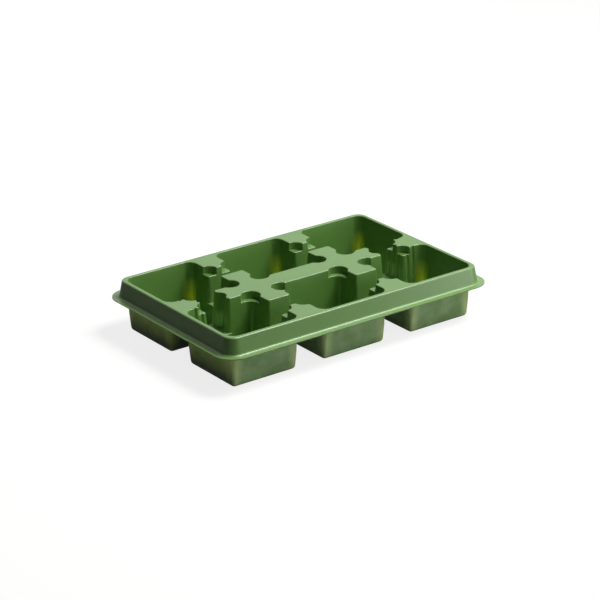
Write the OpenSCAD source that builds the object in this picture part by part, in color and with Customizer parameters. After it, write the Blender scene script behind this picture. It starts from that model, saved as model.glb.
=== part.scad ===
// Carrier tray for six pots, formed from one green plastic sheet.
// Each node is one region of the sheet. Neighbours meet face to face on flat seams.
// The deck is the level top of the lip, buttresses, posts and bridge. Levels inside
// the profiles are measured from the deck, so they are zero or negative.

/* [Overall] */
// Length over the flange
tray_l = 600; // [580:1:660]
// Width over the flange
tray_w = 400; // [385:1:450]
// Height from the pocket feet to the deck
tray_h = 101; // [88:1:112]
// Thickness of the formed sheet
sheet = 2; // [1.2:0.1:3]
// Draft of the pocket and post walls, degrees from upright
draft = 4.5; // [2:0.5:6]

/* [Rim and flange] */
// How far the flange reaches beyond the lip
flange_reach = 19.5; // [18:0.5:32]
// Drop from the deck to the top of the flange
flange_drop = 32; // [24:1:38]
// Slope of the skirt, degrees from upright
skirt_slope = 11; // [4:1:16]
// Width of the lip beside the pockets
lip_w = 8; // [7:0.5:12]
// Radius of the lip's outer corners in plan
lip_r = 20; // [14:1:26]
// Rounding along the lip's outer top edge
lip_edge_r = 3; // [1:0.5:4]

/* [Pockets] */
// Width of the dividers at the deck
divider_w = 49; // [42:1:54]
// Radius of the pocket corners at the deck
pocket_r = 18; // [14:1:22]
// Radius between a pocket's wall and its floor
floor_r = 6; // [2:0.5:9]

/* [Posts and buttresses] */
// Length of a post's arm from its centre
arm_l = 75.5; // [68:0.5:78]
// Gap between a post and a front or rear buttress
side_gap = 40; // [34:1:44]
// Gap between a post and an end buttress
end_gap = 50.5; // [44:0.5:54]
// Corner radius of the arm ends and buttress tips at the deck
tip_r = 7; // [4:0.5:10]
// Drop from the deck to the saddles in the gaps
saddle_drop = 66; // [54:1:72]

/* [Bites and flutes] */
// Radius of the round bites in the deck
bite_r = 18; // [14:0.5:20]
// Depth of the bites below the deck
bite_drop = 14.5; // [8:0.5:20]
// How far a post's bites sit out from its inner corners
bite_out = 9; // [6:0.5:12]
// Width of the flute down a post's outer end
flute_w = 29; // [20:1:32]
// Depth of that flute
flute_d = 7; // [4:0.5:9]
// Deck kept between a post's bites and the bridge
seam_margin = 4; // [2:0.5:8]

/* [Hidden] */
$fn = 48;

leaf_green = "#5c8a45";
deck_green = "#7fa06f";
cup_green = "#66835a";

// Overshoot that lets a cut pass cleanly through a face
over = 1;

// Plan of the lip, the pockets and the dividers
lip_x = tray_l - 2 * flange_reach;
lip_y = tray_w - 2 * flange_reach;
pocket_x = (lip_x - 2 * lip_w - 2 * divider_w) / 3;
pocket_y = (lip_y - 2 * lip_w - divider_w) / 2;
pitch_x = pocket_x + divider_w;
pitch_y = pocket_y + divider_w;
divider_x = pitch_x / 2;
half_w = divider_w / 2;

// Seams: the rim keeps the pocket corners beside it, the middle goes to posts and buttresses
core_x = lip_x / 2 - lip_w - pocket_r;
core_y = lip_y / 2 - lip_w - pocket_r;
hub_half = half_w + pocket_r;
post_seam = half_w + bite_out + bite_r + seam_margin;

// Heights above the ground
flange_z = tray_h - flange_drop;
cup_top = flange_z - sheet;
saddle_z = tray_h - saddle_drop;

// The floor fillet is limited by the pocket's own corner at the floor
floor_level = sheet - tray_h;
floor_fillet = min(floor_r, pocket_r + floor_level * tan(draft));

// Buttress tips, measured from the tray's centre, and their lengths to the rim's seam
side_tip = arm_l + side_gap;
end_tip = divider_x + arm_l + end_gap;
side_len = core_y - side_tip;
end_len = core_x - end_tip;

flute_r = (pow(flute_w / 2, 2) + pow(flute_d, 2)) / (2 * flute_d);
// How far a saddle runs in under its posts, past their rounded corners and flutes
saddle_lap = max(tip_r, flute_d) + 2 * sheet;

// Plan sizes of sloping walls are kept to a thousandth, so that walls which share a line share it exactly
function snap(v) = round(v * 1000) / 1000;
// How far a wall leans out over a drop, and the plan width of the sheet in a drafted wall
function lean(drop, slope) = snap(drop * tan(slope));
function across(inset) = snap(inset / cos(draft));

// Sweeps a wall profile round a rectangle of half sizes hx, hy and fills the middle
module ring_fill(hx, hy, low, top) {
    translate([-hx, -hy, low]) cube([2 * hx, 2 * hy, top - low]);
    for (turn = [0, 180]) rotate(turn) {
        translate([hx, 0, 0]) rotate([90, 0, 0]) linear_extrude(2 * hy, center = true) children();
        translate([0, hy, 0]) rotate(90) rotate([90, 0, 0]) linear_extrude(2 * hx, center = true) children();
        translate([hx, hy, 0]) rotate_extrude(angle = 90) children();
        translate([-hx, hy, 0]) rotate(90) rotate_extrude(angle = 90) children();
    }
}

// Half profile of a form that widens downwards from radius r at the deck
module widening(r, slope, low, top) {
    polygon([[0, low], [r + lean(-low, slope), low], [r + lean(-top, slope), top], [0, top]]);
}

// Half profile of a pocket that narrows downwards, with a rounded foot
module pocket_profile(grow) {
    r = pocket_r + grow / cos(draft);
    low = floor_level - grow;
    foot = r + low * tan(draft);
    f = floor_fillet + grow;
    c = [foot + f * tan(draft) - f / cos(draft), low + f];
    difference() {
        polygon([[0, low], [foot, low], [r + over * tan(draft), over], [0, over]]);
        difference() {
            polygon([c, [c.x, low], [foot, low], c + f * [cos(draft), -sin(draft)]]);
            translate(c) circle(f);
        }
    }
}

// A pocket's inside, or with grow its outside
module pocket(col, row, grow) {
    translate([col * pitch_x, row * pitch_y / 2, tray_h])
        ring_fill(pocket_x / 2 - pocket_r, pocket_y / 2 - pocket_r, floor_level - grow, over)
            pocket_profile(grow);
}

module all_pockets(grow) {
    for (col = [-1:1], row = [-1, 1]) pocket(col, row, grow);
}

// Everything above a height, and the middle of the tray above a height
module above(z) {
    translate([-tray_l, -tray_w, z]) cube([2 * tray_l, 2 * tray_w, tray_h]);
}
module core_above(z) {
    translate([-core_x, -core_y, z]) cube([2 * core_x, 2 * core_y, 2 * tray_h]);
}

// Plan of a rounded rectangle
module rounded(x, y, r) {
    square([x - 2 * r, y], center = true);
    square([x, y - 2 * r], center = true);
    for (sx = [-1, 1], sy = [-1, 1]) translate([sx * (x / 2 - r), sy * (y / 2 - r)]) circle(r);
}

// Outside of the lip and skirt, with its top edge rounded
module skirt_outside() {
    lean = tan(skirt_slope);
    e = lip_edge_r;
    c = [lip_r + e * lean - e / cos(skirt_slope), -e];
    translate([0, 0, tray_h])
        ring_fill(lip_x / 2 - lip_r, lip_y / 2 - lip_r, -flange_drop, 0) difference() {
            widening(lip_r, skirt_slope, -flange_drop, 0);
            difference() {
                polygon([c, c + e * [cos(skirt_slope), sin(skirt_slope)], [lip_r, 0], [c.x, 0]]);
                translate(c) circle(e);
            }
        }
}

// Hollow under the lip, inside the skirt
module skirt_inside() {
    low = -flange_drop - over;
    translate([0, 0, tray_h])
        ring_fill(lip_x / 2 - lip_r, lip_y / 2 - lip_r, low, -sheet)
            widening(lip_r - sheet / cos(skirt_slope), skirt_slope, low, -sheet);
}

// Lowest level of a post's outside, and of the hollow under it, which runs on through the saddle
function base(inset) = inset > 0 ? -saddle_drop - sheet - over : -saddle_drop;

// Section across a divider. Inset is zero for the outside of the sheet, or the sheet's
// thickness for the hollow under it.
module section(inset) {
    low = base(inset);
    half = half_w - across(inset);
    foot = half + lean(-low, draft);
    head = half + lean(inset, draft);
    polygon([[-foot, low], [foot, low], [head, -inset], [-head, -inset]]);
}

// Straight run of a divider along +X
module run(from, to, inset) {
    translate([from, 0, 0]) rotate([90, 0, 90]) linear_extrude(to - from) section(inset);
}

// Run of a divider that ends in a tip with rounded corners
module arm(from, to, inset) {
    r = tip_r - across(inset);
    hx = to - tip_r;
    hy = half_w - tip_r;
    run(from, hx, inset);
    translate([hx, 0, 0]) rotate([90, 0, 0]) linear_extrude(2 * hy, center = true)
        widening(r, draft, base(inset), -inset);
    for (side = [0, 1]) mirror([0, side, 0]) translate([hx, hy, 0]) rotate_extrude(angle = 90)
        widening(r, draft, base(inset), -inset);
}

// Middle of a cross, with its four inner corners rounded to the pocket corners
module hub(inset) {
    low = base(inset);
    r_low = pocket_r + across(inset) - lean(-low, draft);
    r_top = pocket_r + across(inset) - lean(inset, draft);
    difference() {
        translate([-hub_half, -hub_half, low]) cube([2 * hub_half, 2 * hub_half, -inset - low]);
        for (sx = [-1, 1], sy = [-1, 1])
            translate([sx * hub_half, sy * hub_half, low])
                cylinder(h = -inset - low, r1 = r_low, r2 = r_top);
    }
}

// A round bite centred at a point of the deck
module bite(x, y, grow) {
    translate([x, y, -bite_drop - grow]) cylinder(h = bite_drop + grow + over, r = bite_r + grow);
}

module post_bites(grow) {
    out = half_w + bite_out;
    for (sx = [-1, 1], sy = [-1, 1]) bite(sx * out, sy * out, grow);
}

// Flute down the post's outer end, leaning with the wall
module flute(grow) {
    translate([-arm_l - flute_r + flute_d, 0, 0]) rotate([0, draft, 0])
        translate([0, 0, -tray_h]) cylinder(h = 2 * tray_h, r = flute_r + grow);
}

// Left post: three free arms, and a stub that meets the bridge
module cross(inset) {
    hub(inset);
    for (turn = [90, 180, 270]) rotate(turn) arm(hub_half, arm_l, inset);
    run(hub_half, post_seam, inset);
}

module post_hollow() {
    difference() {
        cross(sheet);
        post_bites(sheet);
        flute(sheet);
    }
}

module post() {
    difference() {
        cross(0);
        post_hollow();
        post_bites(0);
        flute(0);
    }
}

// Buttress with its tip at the origin and its root on the rim's seam, len away along -X
module buttress_bites(grow) {
    for (sy = [-1, 1]) bite(0, sy * half_w, grow);
}

module buttress_hollow(len) {
    difference() {
        arm(-len, 0, sheet);
        buttress_bites(sheet);
    }
}

module buttress(len) {
    difference() {
        arm(-len, 0, 0);
        buttress_hollow(len);
        buttress_bites(0);
    }
}

// Places for what stands at the left post, the front left buttress and the left end buttress
module at_post() {
    translate([-divider_x, 0, tray_h]) children();
}
module at_front() {
    translate([-divider_x, -side_tip, tray_h]) rotate(90) children();
}
module at_end() {
    translate([-end_tip, 0, tray_h]) children();
}

// Copies the front left form to any of the four places
module to_place(right, rear) {
    mirror([right ? 1 : 0, 0, 0]) mirror([0, rear ? 1 : 0, 0]) children();
}

// Flat plate over the gap in a divider, trimmed to the cups beside it and the posts on it
module saddle_side() {
    difference() {
        translate([-divider_x - divider_w, -side_tip - saddle_lap, saddle_z - sheet])
            cube([2 * divider_w, side_gap + 2 * saddle_lap, sheet]);
        pocket(-1, -1, sheet);
        pocket(0, -1, sheet);
        at_post() post_hollow();
        at_front() buttress_hollow(side_len);
    }
}

module saddle_end() {
    difference() {
        translate([-end_tip - saddle_lap, -divider_w, saddle_z - sheet])
            cube([end_gap + 2 * saddle_lap, 2 * divider_w, sheet]);
        pocket(-1, -1, sheet);
        pocket(-1, 1, sheet);
        at_post() post_hollow();
        at_end() buttress_hollow(end_len);
    }
}

// Pocket bottom: all of it below the saddles, and up to the flange along the rim
module cup(col, row) {
    color(cup_green) difference() {
        pocket(col, row, sheet);
        pocket(col, row, 0);
        above(cup_top);
        core_above(saddle_z);
    }
}

module flange() {
    flare = flange_drop * tan(skirt_slope) - sheet / cos(skirt_slope);
    color(leaf_green) translate([0, 0, cup_top]) linear_extrude(sheet) difference() {
        rounded(tray_l, tray_w, lip_r + flange_reach);
        rounded(lip_x + 2 * flare, lip_y + 2 * flare, lip_r + flare);
    }
}

// Lip, skirt and the upper pocket walls along them
module rim() {
    color(leaf_green) difference() {
        union() {
            difference() {
                skirt_outside();
                skirt_inside();
            }
            difference() {
                all_pockets(sheet);
                translate([-tray_l, -tray_w, -over]) cube([2 * tray_l, 2 * tray_w, cup_top + over]);
                above(tray_h);
            }
        }
        all_pockets(0);
        core_above(0);
    }
}

// Deck and walls that join the two posts
module bridge() {
    reach = divider_x - post_seam;
    color(deck_green) translate([0, 0, tray_h]) difference() {
        run(-reach, reach, 0);
        run(-reach - over, reach + over, sheet);
    }
}

module buttress_front_left() { color(deck_green) at_front() buttress(side_len); }
module buttress_front_right() { to_place(true, false) buttress_front_left(); }
module buttress_rear_left() { to_place(false, true) buttress_front_left(); }
module buttress_rear_right() { to_place(true, true) buttress_front_left(); }
module buttress_left_end() { color(deck_green) at_end() buttress(end_len); }
module buttress_right_end() { to_place(true, false) buttress_left_end(); }
module post_left() { color(deck_green) at_post() post(); }
module post_right() { to_place(true, false) post_left(); }
module saddle_front_left() { color(leaf_green) saddle_side(); }
module saddle_front_right() { to_place(true, false) saddle_front_left(); }
module saddle_rear_left() { to_place(false, true) saddle_front_left(); }
module saddle_rear_right() { to_place(true, true) saddle_front_left(); }
module saddle_left_end() { color(leaf_green) saddle_end(); }
module saddle_right_end() { to_place(true, false) saddle_left_end(); }

flange();
rim();
buttress_front_left();
buttress_front_right();
buttress_rear_left();
buttress_rear_right();
buttress_left_end();
buttress_right_end();
post_left();
post_right();
bridge();
saddle_front_left();
saddle_front_right();
saddle_rear_left();
saddle_rear_right();
saddle_left_end();
saddle_right_end();
cup(-1, -1);  // cup_front_left
cup(0, -1);  // cup_front_middle
cup(1, -1);  // cup_front_right
cup(-1, 1);  // cup_rear_left
cup(0, 1);  // cup_rear_middle
cup(1, 1);  // cup_rear_right
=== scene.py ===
import math
import bmesh
import bpy
from mathutils import Matrix, Vector


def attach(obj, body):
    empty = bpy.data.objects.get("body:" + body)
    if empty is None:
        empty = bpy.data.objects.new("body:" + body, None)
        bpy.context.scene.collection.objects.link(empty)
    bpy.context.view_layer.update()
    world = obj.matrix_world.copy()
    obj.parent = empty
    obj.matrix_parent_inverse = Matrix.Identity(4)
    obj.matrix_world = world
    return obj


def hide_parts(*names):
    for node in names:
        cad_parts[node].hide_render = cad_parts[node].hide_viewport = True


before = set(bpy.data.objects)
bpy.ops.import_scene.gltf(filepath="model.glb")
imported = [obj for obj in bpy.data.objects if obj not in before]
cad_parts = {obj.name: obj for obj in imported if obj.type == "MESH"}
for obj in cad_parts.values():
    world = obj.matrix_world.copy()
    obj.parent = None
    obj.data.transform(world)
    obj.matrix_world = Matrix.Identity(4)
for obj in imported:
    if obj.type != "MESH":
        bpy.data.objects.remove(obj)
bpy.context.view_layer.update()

scene = bpy.context.scene
print("frame loaded")

# The tray is one formed sheet. Its upper skin is modelled whole, in millimetres,
# then parted along the CAD model's seams, and each part gets the sheet's thickness.
mm = 0.001
sheetForm = {
    "thickness": 2.0,
    "deck": 101.0,      # top of the lip, buttresses and posts
    "draft": 4.5,       # degrees from upright, on every wall
    "edge": 1.6,        # rounding of the deck edges, bites, grooves and saddles
    "edgeSteps": 3,
    "sharp": 40.0,      # degrees, above which an edge is rounded
    "arcStep": 2.4,     # radius for each segment of a rounded corner
    "hair": 0.01,       # closer places count as the same
    "level": 0.99,      # upward part of a level face's normal
}
deck = sheetForm["deck"]
hair = sheetForm["hair"]
sharp = math.radians(sheetForm["sharp"])
leanPerMm = math.tan(math.radians(sheetForm["draft"]))
bothWays = (-1, 1)
quarters = [(sx, sy) for sx in bothWays for sy in bothWays]


def filletMoves(radius, fromDeg, toDeg, steps):
    # (inward, rise) moves round a fillet between two slopes, measured from level
    turns = [math.radians(fromDeg + (toDeg - fromDeg) * k / steps) for k in range(steps + 1)]
    return [(radius * abs(math.sin(b) - math.sin(a)), radius * abs(math.cos(b) - math.cos(a)))
            for a, b in zip(turns, turns[1:])]


def addPlan(bm, corners, z):
    # a level face from a few corners (x, y, radius), rounded by bevelling its vertices
    flat = bmesh.new()
    points = [flat.verts.new((x, y, z)) for x, y, r in corners]
    flat.faces.new(points)
    for radius in sorted({r for x, y, r in corners if r > 0}):
        chosen = [v for v, (x, y, r) in zip(points, corners) if r == radius]
        bmesh.ops.bevel(flat, geom=chosen, affect="VERTICES", offset=radius, offset_type="OFFSET",
                        segments=max(2, round(radius / sheetForm["arcStep"])), profile=0.5, material=-1)
    mesh = bpy.data.meshes.new("planOutline")
    flat.to_mesh(mesh)
    flat.free()
    before = set(bm.faces)
    bm.from_mesh(mesh)
    bpy.data.meshes.remove(mesh)
    return next(f for f in bm.faces if f not in before)


def openLoop(bm, face):
    # drops a face and keeps its outline
    edges = list(face.edges)
    bmesh.ops.delete(bm, geom=[face], context="FACES_ONLY")
    return edges


def fillLevel(bm, edges):
    made = bmesh.ops.triangle_fill(bm, use_beauty=True, edges=edges, normal=(0, 0, 1))["geom"]
    faces = [f for f in made if isinstance(f, bmesh.types.BMFace)]
    upsideDown = [f for f in faces if f.normal.z < 0]
    if upsideDown:
        bmesh.ops.reverse_faces(bm, faces=upsideDown)
    return faces


def sink(bm, faces, moves):
    for inward, rise in moves:
        bmesh.ops.inset_region(bm, faces=faces, thickness=inward, depth=rise,
                               use_boundary=True, use_even_offset=True)


def levelFaces(bm, z):
    found = []
    for f in bm.faces:
        if abs(f.calc_center_median().z - z) < hair and abs(f.normal.z) > sheetForm["level"]:
            found.append(f)
    return found


def halfTurn(corners):
    # the tray looks the same after half a turn, so each outline is given once
    return corners + [(-x, -y, r) for x, y, r in corners]


# flange and skirt, from the outer edge up to the lip
flangeForm = {
    "size": (600.0, 400.0),
    "cornerRadius": 39.5,
    "top": 69.0,
    "reach": 19.5,          # from the lip's outer edge to the flange's edge
    "skirtSlope": 11.0,     # degrees from upright
    "rootRadius": 5.0,
    "lipRadius": 3.5,
    "steps": 4,             # round the root and round the lip
    "trimEdge": 0.5,        # easing of the cut edge
    "trimSteps": 2,
}
sheetMesh = bmesh.new()
fx, fy = (s / 2 for s in flangeForm["size"])
fr = flangeForm["cornerRadius"]
deckFace = addPlan(sheetMesh, halfTurn([(-fx, -fy, fr), (fx, -fy, fr)]), flangeForm["top"])
skirtTilt = 90 - flangeForm["skirtSlope"]
skirtDrop = deck - flangeForm["top"]
rootMoves = filletMoves(flangeForm["rootRadius"], 0, skirtTilt, flangeForm["steps"])
lipMoves = filletMoves(flangeForm["lipRadius"], skirtTilt, 0, flangeForm["steps"])
skirtRise = skirtDrop - sum(rise for inward, rise in rootMoves + lipMoves)
skirtLean = math.tan(math.radians(flangeForm["skirtSlope"]))
rootSetback = flangeForm["rootRadius"] * math.tan(math.radians(skirtTilt / 2))
flangeFlat = flangeForm["reach"] - skirtDrop * skirtLean - rootSetback
sink(sheetMesh, [deckFace],
     [(flangeFlat, 0.0)] + rootMoves + [(skirtRise * skirtLean, skirtRise)] + lipMoves)
lipLoop = openLoop(sheetMesh, deckFace)
print("flange, skirt and lip drawn")

# outlines of the pockets' shared void and of the two posts with their bridge
wallForm = {
    "inner": (272.5, 172.5),    # half sizes inside the lip
    "pocketRadius": 18.0,
    "dividerX": 99.0,
    "halfWidth": 24.5,
    "arm": 75.5,
    "sideTip": 115.5,
    "endTip": 225.0,
    "tipRadius": 3.5,
    "fluteHalf": 14.5,          # down the posts' outer ends
    "fluteSlope": 51.5,         # degrees, at the flute's edges
    "fluteEdge": 2.0,
    "fluteGap": 0.5,            # left straight between the flute's arcs
    "saddleDrop": 66.0,
}
ix, iy = wallForm["inner"]
pr = wallForm["pocketRadius"]
tr = wallForm["tipRadius"]
dx = wallForm["dividerX"]
hw = wallForm["halfWidth"]
frontSide = [(-ix, -iy, pr)]
for cx in (-dx, dx):
    frontSide += [(cx - hw, -iy, pr), (cx - hw, -wallForm["sideTip"], tr),
                  (cx + hw, -wallForm["sideTip"], tr), (cx + hw, -iy, pr)]
frontSide += [(ix, -iy, pr), (ix, -hw, pr), (wallForm["endTip"], -hw, tr)]
rightEnd = [(wallForm["endTip"], hw, tr), (ix, hw, pr)]
voidLoop = openLoop(sheetMesh, addPlan(sheetMesh, halfTurn(frontSide + rightEnd), deck))
outer = dx + wallForm["arm"]
postFront = [(-outer, -hw, tr)]
for cx in (-dx, dx):
    postFront += [(cx - hw, -hw, pr), (cx - hw, -wallForm["arm"], tr),
                  (cx + hw, -wallForm["arm"], tr), (cx + hw, -hw, pr)]
fluteHalf = wallForm["fluteHalf"]
fluteEdge = wallForm["fluteEdge"]
fluteTurn = math.radians(wallForm["fluteSlope"])
fluteApex = outer - fluteHalf * math.tan(fluteTurn)
fluteArc = fluteHalf / math.cos(fluteTurn) - fluteEdge - wallForm["fluteGap"]
postFront += [(outer, -hw, tr), (outer, -fluteHalf, fluteEdge),
              (fluteApex, 0.0, fluteArc), (outer, fluteHalf, fluteEdge)]
postLoop = openLoop(sheetMesh, addPlan(sheetMesh, halfTurn(postFront), deck))
fillLevel(sheetMesh, lipLoop + voidLoop)
fillLevel(sheetMesh, postLoop)
voidFaces = fillLevel(sheetMesh, voidLoop + postLoop)
saddleDrop = wallForm["saddleDrop"]
sink(sheetMesh, voidFaces, [(saddleDrop * leanPerMm, -saddleDrop)])
saddleZ = deck - saddleDrop
print("walls drawn down to the saddles")

# pockets below the saddles, each with its rounded floor
cupForm = {
    "columns": {"left": -198.0, "middle": 0.0, "right": 198.0},
    "rows": {"front": -98.5, "rear": 98.5},
    "floor": 2.0,
    "floorRadius": 6.0,
    "steps": 4,
    "floorCorner": 0.45,    # the upright corners get tighter on the way down
    "cornerReach": 1.2,     # of the pocket's radius, round each corner point
    "cutStep": 0.15,        # nearer points count as on the cut
    "ringStep": 0.001,      # nearer points count as on the same level ring
}
saddleHalf = hw + saddleDrop * leanPerMm
cuts = [((sx * (dx + tx * saddleHalf), 0, 0), (1, 0, 0)) for sx, tx in quarters]
cuts += [((0, sy * saddleHalf, 0), (0, 1, 0)) for sy in bothWays]
for spot, across in cuts:
    faces = levelFaces(sheetMesh, saddleZ)
    geom = list(dict.fromkeys(g for f in faces for g in [f, *f.edges, *f.verts]))
    bmesh.ops.bisect_plane(sheetMesh, geom=geom, dist=cupForm["cutStep"], plane_co=spot, plane_no=across)


def tightenCorners(ring, middle, share):
    # draws the rounding of a level ring's four corners in towards the corner points
    reachX = max(abs(v.co.x - middle[0]) for v in ring)
    reachY = max(abs(v.co.y - middle[1]) for v in ring)
    for sx, sy in quarters:
        tip = Vector((middle[0] + sx * reachX, middle[1] + sy * reachY, 0))
        near = [v for v in ring if (v.co - tip).xy.length < pr * cupForm["cornerReach"]]
        bmesh.ops.scale(sheetMesh, vec=(share, share, 1), verts=near, space=Matrix.Translation(-tip))


cupHalfX = ix - cupForm["columns"]["right"] - saddleDrop * leanPerMm
cupHalfY = iy - cupForm["rows"]["rear"] - saddleDrop * leanPerMm
wallTilt = 90 - sheetForm["draft"]
floorMoves = [(inward, -rise) for inward, rise
              in filletMoves(cupForm["floorRadius"], wallTilt, 0, cupForm["steps"])]
cupDrop = saddleZ - cupForm["floor"] + sum(rise for inward, rise in floorMoves)
for cx in cupForm["columns"].values():
    for cy in cupForm["rows"].values():
        group = []
        for f in levelFaces(sheetMesh, saddleZ):
            c = f.calc_center_median()
            if abs(c.x - cx) < cupHalfX and abs(c.y - cy) < cupHalfY:
                group.append(f)
        pocketFace = bmesh.ops.dissolve_faces(sheetMesh, faces=group)["region"]
        before = set(sheetMesh.verts)
        sink(sheetMesh, pocketFace, [(cupDrop * leanPerMm, -cupDrop)] + floorMoves)
        cupVerts = [v for v in sheetMesh.verts if v not in before]
        for height in sorted({round(v.co.z, 3) for v in cupVerts}):
            ring = [v for v in cupVerts if abs(v.co.z - height) < cupForm["ringStep"]]
            tightenCorners(ring, (cx, cy), cupForm["floorCorner"])
gapX = (outer + wallForm["endTip"]) / 2                 # middle of the gap from post to end buttress
gapY = (wallForm["arm"] + wallForm["sideTip"]) / 2      # and from post to side buttress
axisReach = 2 * hw
saddleSpots = [(sx * dx, sy * gapY) for sx, sy in quarters]
saddleSpots += [(sx * gapX, 0.0) for sx in bothWays]
for spot in saddleSpots:
    group = []
    for f in levelFaces(sheetMesh, saddleZ):
        if (f.calc_center_median().xy - Vector(spot)).length < axisReach:
            group.append(f)
    bmesh.ops.dissolve_faces(sheetMesh, faces=group)
print("pockets and saddles drawn")


def blankObject(name, bm):
    mesh = bpy.data.meshes.new(name)
    bm.to_mesh(mesh)
    blank = bpy.data.objects.new(name, mesh)
    scene.collection.objects.link(blank)
    return blank


def finishedMesh(blank):
    # the mesh with its modifiers applied
    bpy.context.view_layer.update()
    graph = bpy.context.evaluated_depsgraph_get()
    return bpy.data.meshes.new_from_object(blank.evaluated_get(graph))


# upright grooves round the ends of the end buttresses, leaning with the walls
grooveForm = {
    "radius": 3.6,
    "outside": 1.0,             # of the wall to the groove's centre line
    "along": (234.5, 248.0),    # on both sides
    "across": (-14.0, 0.0, 14.0),   # on the tip
    "top": 9.0,                 # of the cutter, over the deck
    "sideBottom": 14.0,         # the grooves on the sides run on down the pockets' walls
    "sides": 12,
    "turn": 15.0,               # degrees, so that no short facet meets the wall
}
grooveTool = bmesh.new()
grooveY = hw + grooveForm["outside"]
grooveX = wallForm["endTip"] - grooveForm["outside"]
grooveSpots = [(sx * gx, sy * grooveY, 0, -sy) for gx in grooveForm["along"] for sx, sy in quarters]
grooveSpots += [(sx * grooveX, gy, sx, 0) for gy in grooveForm["across"] for sx in bothWays]
grooveTurn = Matrix.Rotation(math.radians(grooveForm["turn"]), 4, "Z")
for x, y, leanX, leanY in grooveSpots:
    lean = Matrix.Shear("XY", 4, (leanX * leanPerMm, leanY * leanPerMm))
    bottom = (saddleZ if leanX else grooveForm["sideBottom"]) - deck
    middle = Matrix.Translation((0, 0, (grooveForm["top"] + bottom) / 2))
    bmesh.ops.create_cone(grooveTool, cap_ends=True, segments=grooveForm["sides"],
                          radius1=grooveForm["radius"], radius2=grooveForm["radius"],
                          depth=grooveForm["top"] - bottom,
                          matrix=Matrix.Translation((x, y, deck)) @ lean @ grooveTurn @ middle)

# round bites in the deck
biteForm = {
    "radius": 18.0,
    "drop": 14.5,
    "top": 12.0,            # of the cutter, over the deck
    "postOut": 33.5,        # from a post's centre, both ways
    "endX": 222.0,          # on the end buttresses
    "sides": 24,
    "turn": 7.5,            # degrees, sets the facets clear of the walls they meet
}
biteTool = bmesh.new()
biteMid = deck + (biteForm["top"] - biteForm["drop"]) / 2
biteTall = biteForm["drop"] + biteForm["top"]
postOut = biteForm["postOut"]
biteSpots = [(sx * dx + tx * hw, sy * wallForm["sideTip"]) for sx in bothWays for tx, sy in quarters]
biteSpots += [(sx * biteForm["endX"], sy * hw) for sx, sy in quarters]
biteSpots += [(sx * dx + tx * postOut, sy * postOut) for sx in bothWays for tx, sy in quarters]
biteTurn = Matrix.Rotation(math.radians(biteForm["turn"]), 4, "Z")
for x, y in biteSpots:
    bmesh.ops.create_cone(biteTool, cap_ends=True, segments=biteForm["sides"],
                          radius1=biteForm["radius"], radius2=biteForm["radius"], depth=biteTall,
                          matrix=Matrix.Translation((x, y, biteMid)) @ biteTurn)

# a closed block under the skin lets the cutters work, and is dropped again
blockForm = {
    "depth": 120.0,
    "skinBottom": -1.0,     # all of the skin stays above it
    "flatTurn": 0.01,       # radians, below which deck faces are joined again
}
rimEdges = [e for e in sheetMesh.edges if e.is_boundary]
skirted = bmesh.ops.extrude_edge_only(sheetMesh, edges=rimEdges)["geom"]
lowVerts = [g for g in skirted if isinstance(g, bmesh.types.BMVert)]
bmesh.ops.translate(sheetMesh, verts=lowVerts, vec=(0, 0, -blockForm["depth"]))
bmesh.ops.contextual_create(sheetMesh, geom=[e for e in sheetMesh.edges if e.is_boundary])
bmesh.ops.dissolve_degenerate(sheetMesh, dist=hair, edges=sheetMesh.edges)
bmesh.ops.recalc_face_normals(sheetMesh, faces=sheetMesh.faces)
sheetBlank = blankObject("sheetBlank", sheetMesh)
cutters = [blankObject("grooveTool", grooveTool), blankObject("biteTool", biteTool)]
for cutter in cutters:
    cut = sheetBlank.modifiers.new(cutter.name, "BOOLEAN")
    cut.operation = "DIFFERENCE"
    cut.solver = "EXACT"
    cut.object = cutter
cutMesh = finishedMesh(sheetBlank)
sheetMesh.clear()
sheetMesh.from_mesh(cutMesh)
bpy.data.meshes.remove(cutMesh)
for tool in [sheetBlank] + cutters:
    bpy.data.meshes.remove(tool.data)
blockFaces = [f for f in sheetMesh.faces if min(v.co.z for v in f.verts) < blockForm["skinBottom"]]
bmesh.ops.delete(sheetMesh, geom=blockFaces, context="FACES")
deckVerts = [v for v in sheetMesh.verts if v.co.z > deck - hair]
deckEdges = [e for e in sheetMesh.edges if min(v.co.z for v in e.verts) > deck - hair]
bmesh.ops.dissolve_limit(sheetMesh, angle_limit=blockForm["flatTurn"], verts=deckVerts, edges=deckEdges)
print("grooves and bites cut:", len(sheetMesh.faces), "faces")

rounded = [e for e in sheetMesh.edges if len(e.link_faces) == 2 and e.calc_face_angle_signed() > sharp]
bmesh.ops.bevel(sheetMesh, geom=rounded, affect="EDGES", offset=sheetForm["edge"], offset_type="OFFSET",
                segments=sheetForm["edgeSteps"], profile=0.5, material=-1, clamp_overlap=False)
for v in sheetMesh.verts:
    v.co.z = min(v.co.z, deck)
bmesh.ops.dissolve_degenerate(sheetMesh, dist=hair, edges=sheetMesh.edges)     # edges too short to see
print("edges rounded:", len(rounded), "edges,", len(sheetMesh.faces), "faces")

# seams between the parts of the sheet, on the CAD model's own planes
seamForm = {
    "core": (254.5, 154.5),     # inside it stand the posts and buttresses
    "cupTop": 67.0,             # underside of the flange
    "bridge": 43.5,             # half the bridge's length
    "endHalf": 39.2,            # half the room that the bridge and the end buttresses take
    "step": 0.2,                # nearer points count as on the seam
    "clear": 1.0,               # sets faces at the saddles' height apart from those above
    "saddleFacing": 0.2,        # upward part of a normal, above which a face is a saddle's
}


def seamCut(spot, across, chosen):
    faces = [f for f in sheetMesh.faces if chosen(f.calc_center_median())]
    geom = list(dict.fromkeys(g for f in faces for g in [f, *f.edges, *f.verts]))
    bmesh.ops.bisect_plane(sheetMesh, geom=geom, dist=seamForm["step"], plane_co=spot, plane_no=across)


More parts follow.
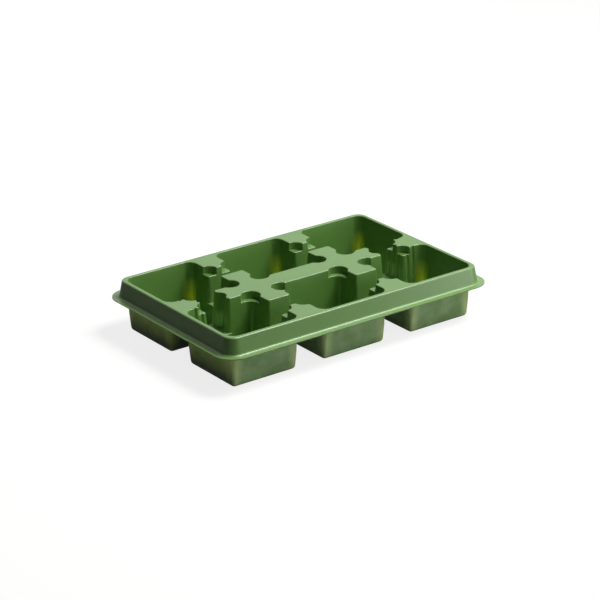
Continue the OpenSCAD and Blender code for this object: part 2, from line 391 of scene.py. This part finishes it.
coreX, coreY = seamForm["core"]
clear = seamForm["clear"]
lipX, lipY = (s / 2 - flangeForm["reach"] for s in flangeForm["size"])
for way in bothWays:
    seamCut((way * coreX, 0, 0), (1, 0, 0),
            lambda c: c.z > saddleZ - clear and c.x * way > 0 and abs(c.y) < coreY)
    seamCut((0, way * coreY, 0), (0, 1, 0),
            lambda c: c.z > saddleZ - clear and c.y * way > 0 and abs(c.x) < lipX)
    seamCut((way * seamForm["bridge"], 0, 0), (1, 0, 0),
            lambda c: c.z > saddleZ + clear and abs(c.y) < axisReach)
seamCut((0, 0, seamForm["cupTop"]), (0, 0, 1), lambda c: abs(c.x) > coreX or abs(c.y) > coreY)
grooveMid = (deck + grooveForm["sideBottom"]) / 2
seamCut((0, 0, saddleZ), (0, 0, 1),
        lambda c: outer < abs(c.x) < coreX and saddleZ < c.z < grooveMid + clear)


def nearest(value, places):
    return min(places, key=lambda name: abs(places[name] - value))


def partOf(face):
    # the CAD node that a face of the skin belongs to
    c = face.calc_center_median()
    side = "left" if c.x < 0 else "right"
    row = "front" if c.y < 0 else "rear"
    cup = "cup_" + row + "_" + nearest(c.x, cupForm["columns"])
    inCore = abs(c.x) < coreX + hair and abs(c.y) < coreY + hair
    if not inCore:
        if c.z <= seamForm["cupTop"]:
            return cup
        onFlange = c.z < flangeForm["top"] + hair and face.normal.z > sheetForm["level"]
        return "flange" if onFlange else "rim"
    atEnd = abs(c.y) < seamForm["endHalf"]
    if c.z > saddleZ + hair:
        if abs(c.x) < seamForm["bridge"] and atEnd:
            return "bridge"
        if atEnd and abs(c.x) > gapX:
            return "buttress_" + side + "_end"
        if abs(c.y) > gapY:
            return "buttress_" + row + "_" + side
        return "post_" + side
    if c.z > saddleZ - sheetForm["edge"] and face.normal.z > seamForm["saddleFacing"]:
        if atEnd and abs(c.x) > dx + saddleHalf:
            return "saddle_" + side + "_end"
        if abs(abs(c.x) - dx) < saddleHalf:
            return "saddle_" + row + "_" + side
    return cup


pointLayer = sheetMesh.verts.layers.int.new("point")
faceLayer = sheetMesh.faces.layers.int.new("face")
partOfFace = {}
for number, face in enumerate(sheetMesh.faces):
    face[faceLayer] = number
    partOfFace[number] = partOf(face)
for number, point in enumerate(sheetMesh.verts):
    point[pointLayer] = number
outline = {v[pointLayer] for e in sheetMesh.edges if e.is_boundary for v in e.verts}
partNames = sorted(set(partOfFace.values()))
print("parts of the sheet:", {name: list(partOfFace.values()).count(name) for name in partNames})

# the whole sheet gets its thickness and its shading once, so that no seam shows
wholeSkin = blankObject("wholeSkin", sheetMesh)
wholeSkin.data.shade_smooth()
wholeSkin.data.set_sharp_from_angle(angle=sharp)
thicken = wholeSkin.modifiers.new("thickness", "SOLIDIFY")
thicken.thickness = sheetForm["thickness"]
thicken.offset = -1
thicken.use_quality_normals = True
evenShade = wholeSkin.modifiers.new("evenShade", "WEIGHTED_NORMAL")
evenShade.keep_sharp = True
wholeMesh = finishedMesh(wholeSkin)
pointCount = len(sheetMesh.verts)
faceCount = len(sheetMesh.faces)
under = [wholeMesh.vertices[pointCount + k].co.copy() for k in range(pointCount)]
shade = {}
for polygon in wholeMesh.polygons[:2 * faceCount]:
    for corner in polygon.loop_indices:
        point = wholeMesh.loops[corner].vertex_index % pointCount
        shade[polygon.index, point] = wholeMesh.corner_normals[corner].vector.copy()
bpy.data.meshes.remove(wholeSkin.data)
bpy.data.meshes.remove(wholeMesh)


def pieceName(node):
    return "sheet" + "".join(word.capitalize() for word in node.split("_"))


def sheetPiece(node):
    # one part of the sheet, closed along its seams by straight walls
    part = sheetMesh.copy()
    faces = part.faces.layers.int["face"]
    points = part.verts.layers.int["point"]
    others = [f for f in part.faces if partOfFace[f[faces]] != node]
    bmesh.ops.delete(part, geom=others, context="FACES")
    made = bmesh.ops.extrude_face_region(part, geom=list(part.faces), use_keep_orig=True)["geom"]
    lower = {g for g in made if isinstance(g, bmesh.types.BMVert)}
    for v in lower:
        v.co = under[v[points]]
    for f in part.faces:
        below = sum(v in lower for v in f.verts)
        if below == len(f.verts):
            f[faces] += faceCount
        elif below:
            f[faces] = -1
    bmesh.ops.recalc_face_normals(part, faces=part.faces)
    if node == "flange":
        trim = []
        for e in part.edges:
            if all(v[points] in outline for v in e.verts) and e.calc_face_angle() > sharp:
                trim.append(e)
        bmesh.ops.bevel(part, geom=trim, affect="EDGES", offset=flangeForm["trimEdge"], offset_type="OFFSET",
                        segments=flangeForm["trimSteps"], profile=0.5, material=-1)
    bmesh.ops.scale(part, vec=(mm, mm, mm), verts=part.verts)
    mesh = bpy.data.meshes.new(pieceName(node))
    part.to_mesh(mesh)
    mesh.shade_smooth()
    piece = bpy.data.objects.new(pieceName(node), mesh)
    scene.collection.objects.link(piece)
    if node == "flange":
        mesh.set_sharp_from_angle(angle=sharp)
        piece.modifiers.new("evenShade", "WEIGHTED_NORMAL").keep_sharp = True
    else:
        part.normal_update()
        normals = []
        for f in part.faces:
            normals += [shade.get((f[faces], v[points]), f.normal) for v in f.verts]
        mesh.normals_split_custom_set(normals)
    part.free()
    mesh.attributes.remove(mesh.attributes["face"])
    mesh.attributes.remove(mesh.attributes["point"])
    mesh.materials.append(formedSheet)
    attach(piece, "root")
    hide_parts(node)


# formed polypropylene: a green sheet drawn over a mould, so the eye sees a soft sheen. Painted light
# is laid into its colour: a paler flange, which the clamp held and kept thick, painted for the light and
# highlight it gets; olive deep in the pocket corners, where the draw thinned it, for daylight coming
# through the thin plastic; a pale straw band beside each corner as a painted highlight; and pale, patchy
# plastic on the pockets' outsides, partly stretched plastic and partly painted light that lifts them.
# A painted glow stands in for a little daylight coming through where it is thin. Sizes and heights are in mm.
finishForm = {
    "green": "#648f43",
    "deepGreen": "#5b853b",
    "toneSize": 70.0,           # drift of the colour
    "toneDetail": 3.0,
    "outsideBlend": 10.0,       # from a pocket's inside to its outside
    "paleGreenWithPaintedLight": "#a5c88c",     # stretched walls from outside, partly painted light that lifts them
    "paleShare": 0.75,
    "paleTop": 68.0,            # above the ground
    "paleBottom": 60.0,
    "patchSize": 28.0,          # patches of pale plastic
    "patchRange": (0.35, 0.65),
    "patchLeast": 0.45,         # of the pale share
    "streakSize": 6.0,          # across the draw marks
    "streakLength": 5.0,        # times as long as across
    "streakRange": (0.3, 0.7),
    "streakLeast": 0.6,
    "streakBump": (0.7, 1.2),   # strength and height
    "paintedGlowOlive": "#c2d40c",         # thin corners from inside, painted with the daylight that comes through them
    "thinFrom": 50.0,           # from a pocket's middle, along and across
    "thinFull": 66.0,
    "thinTop": 72.0,            # above the ground
    "thinBottom": 34.0,
    "rimBlend": 10.0,           # past a pocket's middle, towards the rim
    "paintedHighlightStraw": "#c8dc94",         # painted highlight on the fold beside each corner, from outside
    "foldTop": (65.0, 58.0),    # above the ground, and from the middle of the wall
    "foldBottom": (10.0, 65.0),
    "foldHalf": 18.0,
    "foldFade": (60.0, 22.0),   # above the ground, from faint to full
    "foldFaint": 0.25,
    "through": "#e6ff3c",       # painted glow for daylight through thin plastic
    "cornerLight": 0.07,
    "endLight": 0.04,           # at the top of the end walls, from outside
    "endTop": 55.0,             # above the ground
    "endBottom": 12.0,
    "endFrom": 22.0,            # in from the pockets' outer ends
    "endFull": 8.0,
    # painted light: a paler flange
    "paintedFlangeGreen": "#8aaa6a",
    "paintedFlangeShare": 0.3,
    "lipBlend": 3.0,            # out from the lip
    "rootFrom": 1.5,            # above the flange
    "rootFull": 0.3,
    "grainSize": 1.8,           # drawn coarser than the real grain, which would not show
    "grainRange": (0.3, 0.7),
    "grainBump": (0.05, 0.4),   # strength and height
    "roughness": (0.32, 0.42),
    "ior": 1.5,
    "specular": 0.85,
}


def linearColour(code):
    channels = [int(code[i:i + 2], 16) / 255 for i in (1, 3, 5)]
    return tuple(c / 12.92 if c <= 0.04045 else ((c + 0.055) / 1.055) ** 2.4 for c in channels) + (1.0,)


def addNode(tree, kind, links=None, **settings):
    # a Mix node's colours are its inputs 6 and 7 and its output 2, its numbers inputs 2 and 3
    made = tree.nodes.new(kind)
    for key, value in settings.items():
        setattr(made, key, value)
    for socket, value in (links or {}).items():
        if isinstance(value, bpy.types.NodeSocket):
            tree.links.new(value, made.inputs[socket])
        else:
            made.inputs[socket].default_value = value
    return made


formedSheet = bpy.data.materials.new("formedPolypropylene")
formedSheet.use_nodes = True
tree = formedSheet.node_tree
shader = tree.nodes["Principled BSDF"]
coords = addNode(tree, "ShaderNodeTexCoord").outputs
place = coords["Object"]
axes = addNode(tree, "ShaderNodeSeparateXYZ", {0: place}).outputs

# colour drifts a little over the sheet
tone = addNode(tree, "ShaderNodeTexNoise", {"Vector": place, "Scale": 1 / (finishForm["toneSize"] * mm),
                                            "Detail": finishForm["toneDetail"]})
toneMix = addNode(tree, "ShaderNodeMix", {0: tone.outputs[0], 6: linearColour(finishForm["green"]),
                                          7: linearColour(finishForm["deepGreen"])}, data_type="RGBA")

# a point's place in its own pocket, and whether it is on the pocket's outside
rowY = cupForm["rows"]["rear"] * mm
columnX = cupForm["columns"]["right"] * mm
inCupX = addNode(tree, "ShaderNodeMath", {0: axes["X"], 1: dx * mm, 2: -dx * mm},
                 operation="WRAP").outputs[0]
pastRow = addNode(tree, "ShaderNodeMath", {0: axes["Y"], 1: 2 * rowY, 2: 0.0}, operation="WRAP").outputs[0]
inCupY = addNode(tree, "ShaderNodeMath", {0: pastRow, 1: rowY}, operation="SUBTRACT").outputs[0]
fromMiddle = addNode(tree, "ShaderNodeCombineXYZ", {0: inCupX, 1: inCupY}).outputs[0]
outward = addNode(tree, "ShaderNodeVectorMath", {0: fromMiddle, 1: coords["Normal"]},
                  operation="DOT_PRODUCT").outputs["Value"]
outsideBlend = finishForm["outsideBlend"] * mm
outside = addNode(tree, "ShaderNodeMapRange", {"Value": outward, "From Min": -outsideBlend,
                                               "From Max": outsideBlend}).outputs[0]
inside = addNode(tree, "ShaderNodeMath", {0: 1.0, 1: outside}, operation="SUBTRACT").outputs[0]

# patches of pale plastic on the pockets' outsides, partly stretched plastic and partly painted light that
# lifts them
patch = addNode(tree, "ShaderNodeTexNoise", {"Vector": place, "Scale": 1 / (finishForm["patchSize"] * mm)})
patchLow, patchHigh = finishForm["patchRange"]
patchy = addNode(tree, "ShaderNodeMapRange", {"Value": patch.outputs[0],
                                              "From Min": patchLow, "From Max": patchHigh,
                                              "To Min": finishForm["patchLeast"] * finishForm["paleShare"],
                                              "To Max": finishForm["paleShare"]}).outputs[0]
lowDown = addNode(tree, "ShaderNodeMapRange", {"Value": axes["Z"], "From Min": finishForm["paleTop"] * mm,
                                               "From Max": finishForm["paleBottom"] * mm}).outputs[0]
lowOutside = addNode(tree, "ShaderNodeMath", {0: outside, 1: lowDown}, operation="MULTIPLY").outputs[0]
pale = addNode(tree, "ShaderNodeMath", {0: lowOutside, 1: patchy}, operation="MULTIPLY").outputs[0]
palePaintedLightMix = addNode(tree, "ShaderNodeMix", {0: pale, 6: toneMix.outputs[2],
                                          7: linearColour(finishForm["paleGreenWithPaintedLight"])}, data_type="RGBA")

# draw marks, long in the direction of the draw
drawn = addNode(tree, "ShaderNodeMapping", {"Vector": place,
                                            "Scale": (1.0, 1.0, 1 / finishForm["streakLength"])})
streak = addNode(tree, "ShaderNodeTexNoise", {"Vector": drawn.outputs[0],
                                              "Scale": 1 / (finishForm["streakSize"] * mm)})
streakLow, streakHigh = finishForm["streakRange"]
streaky = addNode(tree, "ShaderNodeMapRange", {"Value": streak.outputs[0],
                                               "From Min": streakLow, "From Max": streakHigh,
                                               "To Min": finishForm["streakLeast"]}).outputs[0]

# how far past the lip, on the skirt and the flange
absX = addNode(tree, "ShaderNodeMath", {0: axes["X"]}, operation="ABSOLUTE").outputs[0]
absY = addNode(tree, "ShaderNodeMath", {0: axes["Y"]}, operation="ABSOLUTE").outputs[0]
pastX = addNode(tree, "ShaderNodeMath", {0: absX, 1: lipX * mm}, operation="SUBTRACT").outputs[0]
pastY = addNode(tree, "ShaderNodeMath", {0: absY, 1: lipY * mm}, operation="SUBTRACT").outputs[0]
pastLip = addNode(tree, "ShaderNodeMath", {0: pastX, 1: pastY}, operation="MAXIMUM").outputs[0]
isPast = addNode(tree, "ShaderNodeMapRange", {"Value": pastLip,
                                              "From Max": finishForm["lipBlend"] * mm}).outputs[0]
isWithin = addNode(tree, "ShaderNodeMath", {0: 1.0, 1: isPast}, operation="SUBTRACT").outputs[0]

# painted light: olive in the thin corners by the rim stands in for daylight coming through them; far out of a
# pocket's middle both ways, and deep
far = {"From Min": finishForm["thinFrom"] * mm, "From Max": finishForm["thinFull"] * mm}
awayX = addNode(tree, "ShaderNodeMath", {0: inCupX}, operation="ABSOLUTE").outputs[0]
awayY = addNode(tree, "ShaderNodeMath", {0: inCupY}, operation="ABSOLUTE").outputs[0]
farX = addNode(tree, "ShaderNodeMapRange", {"Value": awayX, **far}).outputs[0]
farY = addNode(tree, "ShaderNodeMapRange", {"Value": awayY, **far}).outputs[0]
deep = addNode(tree, "ShaderNodeMapRange", {"Value": axes["Z"], "From Min": finishForm["thinTop"] * mm,
                                            "From Max": finishForm["thinBottom"] * mm}).outputs[0]
corner = addNode(tree, "ShaderNodeMath", {0: farX, 1: farY}, operation="MULTIPLY").outputs[0]
cornerDeep = addNode(tree, "ShaderNodeMath", {0: corner, 1: deep}, operation="MULTIPLY").outputs[0]
cornerWithin = addNode(tree, "ShaderNodeMath", {0: cornerDeep, 1: isWithin}, operation="MULTIPLY").outputs[0]
rimBlend = finishForm["rimBlend"] * mm
outerX = addNode(tree, "ShaderNodeMapRange", {"Value": absX, "From Min": columnX,
                                              "From Max": columnX + rimBlend}).outputs[0]
outerY = addNode(tree, "ShaderNodeMapRange", {"Value": absY, "From Min": rowY,
                                              "From Max": rowY + rimBlend}).outputs[0]
byRim = addNode(tree, "ShaderNodeMath", {0: outerX, 1: outerY}, operation="MAXIMUM").outputs[0]
thin = addNode(tree, "ShaderNodeMath", {0: cornerWithin, 1: byRim}, operation="MULTIPLY").outputs[0]
paintedGlowShare = addNode(tree, "ShaderNodeMath", {0: thin, 1: streaky}, operation="MULTIPLY").outputs[0]
paintedGlowInside = addNode(tree, "ShaderNodeMath", {0: paintedGlowShare, 1: inside}, operation="MULTIPLY").outputs[0]
paintedGlowMix = addNode(tree, "ShaderNodeMix", {0: paintedGlowInside, 6: palePaintedLightMix.outputs[2],
                                          7: linearColour(finishForm["paintedGlowOlive"])}, data_type="RGBA")

# painted highlight: pale straw bands beside the corners, which run in to the corner and get paler on the way
# down
foldTop, foldTopOut = (value * mm for value in finishForm["foldTop"])
foldBottom, foldBottomOut = (value * mm for value in finishForm["foldBottom"])
faintAt, fullAt = (value * mm for value in finishForm["foldFade"])
alongWall = addNode(tree, "ShaderNodeMath", {0: awayX, 1: awayY}, operation="MINIMUM").outputs[0]
foldPlace = addNode(tree, "ShaderNodeMapRange", {"Value": axes["Z"],
                                                 "From Min": foldTop, "From Max": foldBottom,
                                                 "To Min": foldTopOut, "To Max": foldBottomOut}).outputs[0]
fromFold = addNode(tree, "ShaderNodeMath", {0: alongWall, 1: foldPlace}, operation="SUBTRACT").outputs[0]
besideFold = addNode(tree, "ShaderNodeMath", {0: fromFold}, operation="ABSOLUTE").outputs[0]
fold = addNode(tree, "ShaderNodeMapRange", {"Value": besideFold, "From Min": finishForm["foldHalf"] * mm,
                                            "From Max": 0.0}, interpolation_type="SMOOTHSTEP").outputs[0]
foldDown = addNode(tree, "ShaderNodeMapRange", {"Value": axes["Z"], "From Min": faintAt, "From Max": fullAt,
                                                "To Min": finishForm["foldFaint"]}).outputs[0]
foldLow = addNode(tree, "ShaderNodeMath", {0: fold, 1: foldDown}, operation="MULTIPLY").outputs[0]
foldOutside = addNode(tree, "ShaderNodeMath", {0: foldLow, 1: lowOutside}, operation="MULTIPLY").outputs[0]
paintedHighlightShare = addNode(tree, "ShaderNodeMath", {0: foldOutside, 1: streaky}, operation="MULTIPLY").outputs[0]
paintedHighlightMix = addNode(tree, "ShaderNodeMix", {0: paintedHighlightShare, 6: paintedGlowMix.outputs[2],
                                          7: linearColour(finishForm["paintedHighlightStraw"])}, data_type="RGBA")

# painted glow: an emission stands in for daylight coming faintly through the thin corners and the end walls
cornerLight = addNode(tree, "ShaderNodeMath", {0: paintedGlowInside, 1: finishForm["cornerLight"]},
                      operation="MULTIPLY").outputs[0]
atEndWall = addNode(tree, "ShaderNodeMapRange", {"Value": absX,
                                                 "From Min": (ix - finishForm["endFrom"]) * mm,
                                                 "From Max": (ix - finishForm["endFull"]) * mm}).outputs[0]
endRise = addNode(tree, "ShaderNodeMapRange", {"Value": axes["Z"], "From Min": finishForm["endBottom"] * mm,
                                               "From Max": finishForm["endTop"] * mm,
                                               "To Max": finishForm["endLight"]}).outputs[0]
endShare = addNode(tree, "ShaderNodeMath", {0: atEndWall, 1: endRise}, operation="MULTIPLY").outputs[0]
endLight = addNode(tree, "ShaderNodeMath", {0: endShare, 1: lowOutside}, operation="MULTIPLY").outputs[0]
through = addNode(tree, "ShaderNodeMath", {0: cornerLight, 1: endLight}, operation="ADD")
tree.links.new(through.outputs[0], shader.inputs["Emission Strength"])
shader.inputs["Emission Color"].default_value = linearColour(finishForm["through"])

# painted light: the flange is made paler for the light and highlight it gets, past the lip and no higher than
# the skirt's root
flangeTop = flangeForm["top"] * mm
atRoot = addNode(tree, "ShaderNodeMapRange", {"Value": axes["Z"],
                                              "From Min": flangeTop + finishForm["rootFrom"] * mm,
                                              "From Max": flangeTop + finishForm["rootFull"] * mm,
                                              "To Max": finishForm["paintedFlangeShare"]}).outputs[0]
paintedFlangeLight = addNode(tree, "ShaderNodeMath", {0: isPast, 1: atRoot}, operation="MULTIPLY").outputs[0]
paintedFlangeMix = addNode(tree, "ShaderNodeMix", {0: paintedFlangeLight, 6: paintedHighlightMix.outputs[2],
                                           7: linearColour(finishForm["paintedFlangeGreen"])}, data_type="RGBA")
tree.links.new(paintedFlangeMix.outputs[2], shader.inputs["Base Color"])

# fine grain in the gloss, grain and draw marks in the surface
grain = addNode(tree, "ShaderNodeTexNoise", {"Vector": place, "Scale": 1 / (finishForm["grainSize"] * mm)})
grainLow, grainHigh = finishForm["grainRange"]
roughLow, roughHigh = finishForm["roughness"]
rough = addNode(tree, "ShaderNodeMapRange", {"Value": grain.outputs[0],
                                             "From Min": grainLow, "From Max": grainHigh,
                                             "To Min": roughLow, "To Max": roughHigh})
tree.links.new(rough.outputs[0], shader.inputs["Roughness"])
grainStrength, grainHeight = finishForm["grainBump"]
grainBump = addNode(tree, "ShaderNodeBump", {"Height": grain.outputs[0], "Strength": grainStrength,
                                             "Distance": grainHeight * mm})
cornerMarks = addNode(tree, "ShaderNodeMath", {0: streak.outputs[0], 1: thin}, operation="MULTIPLY")
streakStrength, streakHeight = finishForm["streakBump"]
streakBump = addNode(tree, "ShaderNodeBump", {"Height": cornerMarks.outputs[0], "Strength": streakStrength,
                                              "Distance": streakHeight * mm, "Normal": grainBump.outputs[0]})
tree.links.new(streakBump.outputs[0], shader.inputs["Normal"])
shader.inputs["IOR"].default_value = finishForm["ior"]
shader.inputs["Specular IOR Level"].default_value = finishForm["specular"]

for node in partNames:
    sheetPiece(node)
print("sheet parted into", len(partNames), "pieces")

# studio: pale floor, white surround that lights the front low down, a softbox above,
# a smaller one at the front right and a dim one behind
studioForm = {
    "floorSize": 8.0,
    "floorDrop": 0.4,                   # mm, so that the pockets' floors stand clear of it
    "floorColour": "#858783",
    "floorRoughness": 0.9,
    "floorGlow": 0.82,                  # seen, not lit by, so the shadow stays faint
    "floorMirror": 0.08,                # share of the glow in reflections
    "white": "#ffffff",
    "facing": (0.56, -0.70, -0.45),     # where the surround's light comes from
    "facingRange": (0.3, 0.95),
    "surround": (0.0, 1.4),             # light from the far side and from the near side
    "mirrorFacing": (0.75, 0.35, 0.55),
    "mirrorRange": (-0.35, 0.7),
    "mirror": (0.04, 1.0),              # seen in reflections, from the near left to the far right
    "softbox": {"place": (1.2, -0.6, 2.7), "size": 1.5, "watts": 104.0},
    "sideBox": {"place": (0.95, -0.9, 0.1), "size": 0.4, "watts": 2.8},
    "backBox": {"place": (0.6, 2.6, 0.5), "size": 1.6, "watts": 22.0},
}
floorMesh = bmesh.new()
bmesh.ops.create_grid(floorMesh, x_segments=1, y_segments=1, size=studioForm["floorSize"] / 2)
bmesh.ops.translate(floorMesh, verts=floorMesh.verts, vec=(0, 0, -studioForm["floorDrop"] * mm))
floor = blankObject("studioFloor", floorMesh)
floorMesh.free()
paleFloor = bpy.data.materials.new("matteFloor")
paleFloor.use_nodes = True
tree = paleFloor.node_tree
shader = tree.nodes["Principled BSDF"]
shader.inputs["Base Color"].default_value = linearColour(studioForm["floorColour"])
shader.inputs["Roughness"].default_value = studioForm["floorRoughness"]
shader.inputs["Specular IOR Level"].default_value = 0.0
shader.inputs["Emission Color"].default_value = linearColour(studioForm["white"])
ray = addNode(tree, "ShaderNodeLightPath").outputs
mirrored = addNode(tree, "ShaderNodeMath", {0: ray["Is Glossy Ray"], 1: studioForm["floorMirror"]},
                   operation="MULTIPLY").outputs[0]
seen = addNode(tree, "ShaderNodeMath", {0: ray["Is Camera Ray"], 1: mirrored}, operation="MAXIMUM").outputs[0]
seenAll = addNode(tree, "ShaderNodeMath", {0: seen, 1: ray["Is Transmission Ray"]},
                  operation="MAXIMUM").outputs[0]
glow = addNode(tree, "ShaderNodeMath", {0: seenAll, 1: studioForm["floorGlow"]}, operation="MULTIPLY")
tree.links.new(glow.outputs[0], shader.inputs["Emission Strength"])
floor.data.materials.append(paleFloor)

# the surround is white to the camera, and graded in its light and in reflections
surround = bpy.data.worlds.new("studioSurround")
surround.use_nodes = True
tree = surround.node_tree
background = tree.nodes["Background"]
background.inputs["Color"].default_value = linearColour(studioForm["white"])
ray = addNode(tree, "ShaderNodeLightPath").outputs
toward = addNode(tree, "ShaderNodeTexCoord").outputs["Generated"]
graded = []
for aim, span, light in (("facing", "facingRange", "surround"), ("mirrorFacing", "mirrorRange", "mirror")):
    turned = addNode(tree, "ShaderNodeVectorMath", {0: toward, 1: studioForm[aim]}, operation="DOT_PRODUCT")
    start, end = studioForm[span]
    low, high = studioForm[light]
    graded.append(addNode(tree, "ShaderNodeMapRange", {"Value": turned.outputs["Value"],
                                                       "From Min": start, "From Max": end,
                                                       "To Min": low, "To Max": high}).outputs[0])
level = addNode(tree, "ShaderNodeMix", {0: ray["Is Glossy Ray"], 2: graded[0], 3: graded[1]}).outputs[0]
seen = addNode(tree, "ShaderNodeMath", {0: ray["Is Camera Ray"], 1: ray["Is Transmission Ray"]},
               operation="MAXIMUM").outputs[0]
strength = addNode(tree, "ShaderNodeMix", {0: seen, 2: level, 3: 1.0})
tree.links.new(strength.outputs[0], background.inputs["Strength"])
scene.world = surround

for name in ("softbox", "sideBox", "backBox"):
    boxForm = studioForm[name]
    lamp = bpy.data.lights.new(name, "AREA")
    lamp.size = boxForm["size"]
    lamp.energy = boxForm["watts"]
    lampObject = bpy.data.objects.new(name, lamp)
    lampObject.location = boxForm["place"]
    lampObject.rotation_euler = Vector(boxForm["place"]).to_track_quat("Z", "Y").to_euler()
    lampObject.visible_glossy = name != "backBox"   # it only lifts the far side's shade
    scene.collection.objects.link(lampObject)

cameraForm = {
    "place": (-2.54740, -3.51908, 1.83779),
    "turn": (1.17951095, 0.01442617, -0.63280505),
    "lens": 152.245,
    "sensor": 36.0,
}
camera = bpy.data.cameras.new("photoCamera")
camera.lens = cameraForm["lens"]
camera.sensor_width = cameraForm["sensor"]
cameraObject = bpy.data.objects.new("photoCamera", camera)
cameraObject.location = cameraForm["place"]
cameraObject.rotation_euler = cameraForm["turn"]
scene.collection.objects.link(cameraObject)
scene.camera = cameraObject
scene.view_settings.view_transform = "Standard"
print("studio and camera set")
